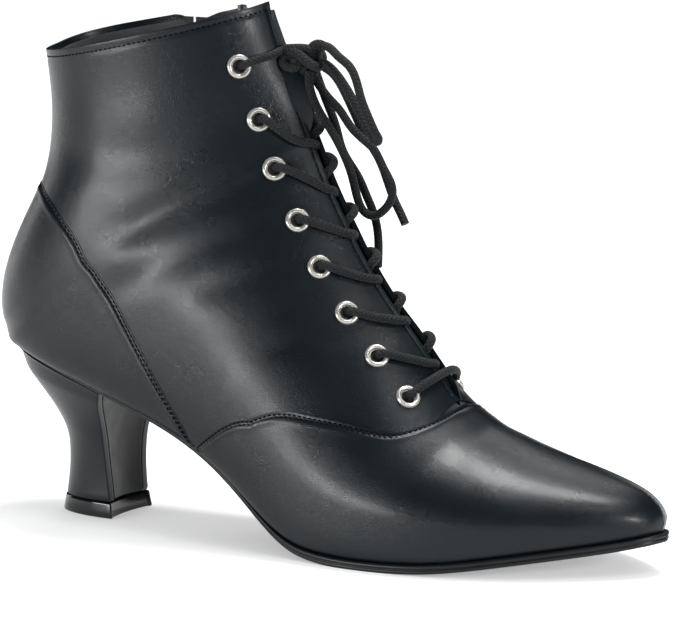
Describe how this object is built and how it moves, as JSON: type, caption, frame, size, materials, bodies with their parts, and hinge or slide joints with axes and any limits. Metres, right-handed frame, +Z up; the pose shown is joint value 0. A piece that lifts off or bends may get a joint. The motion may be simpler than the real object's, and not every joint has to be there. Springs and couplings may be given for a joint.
{
  "type": "lace-up ankle boot",
  "caption": "Black leather ankle boot for the right foot with a pointed toe, a flared heel, a laced front tied in a bow and an inner zip.",
  "frame": {"origin": "centre of the bounding box's underside, on the floor between the heel and the toe", "axes": "+X toward the toe, +Y toward the inner side of the foot, +Z up"},
  "size_m": [0.2578, 0.0826, 0.1856],
  "materials": {
    "black_leather": "smooth black leather with a soft satin gloss",
    "lining": "matt dark lining leather",
    "sole_edge": "black burnished sole edge",
    "rubber": "glossy black rubber",
    "nickel": "polished nickel",
    "dark_nickel": "dark nickel",
    "lace_cord": "waxed black round braid"
  },
  "bodies": {
    "boot": {"upper": "black_leather", "tongue": "black_leather", "heel_block": "black_leather", "insole": "lining", "outsole": "sole_edge", "top_piece": "rubber", "eyelet_outer_1": "nickel", "eyelet_outer_2": "nickel", "eyelet_outer_3": "nickel", "eyelet_outer_4": "nickel", "eyelet_outer_5": "nickel", "eyelet_outer_6": "nickel", "eyelet_outer_7": "nickel", "eyelet_outer_8": "nickel", "eyelet_inner_1": "nickel", "eyelet_inner_2": "nickel", "eyelet_inner_3": "nickel", "eyelet_inner_4": "nickel", "eyelet_inner_5": "nickel", "eyelet_inner_6": "nickel", "eyelet_inner_7": "nickel", "eyelet_inner_8": "nickel", "zip_chain": "dark_nickel", "zip_slider": "dark_nickel", "lace_crossings": "lace_cord", "lace_knot": "lace_cord", "lace_loop_upper": "lace_cord", "lace_loop_lower": "lace_cord", "lace_end_front": "lace_cord", "lace_end_side": "lace_cord"},
    "pull_tab": {"zip_pull_tab": "dark_nickel"}
  },
  "joints": [
    {"name": "pull_tab_swing", "type": "hinge", "parent": "boot", "child": "pull_tab", "pos_m": [-0.06983, 0.03584, 0.1668], "axis": [1, 0, 0], "range_deg": [0, 150]}
  ]
}
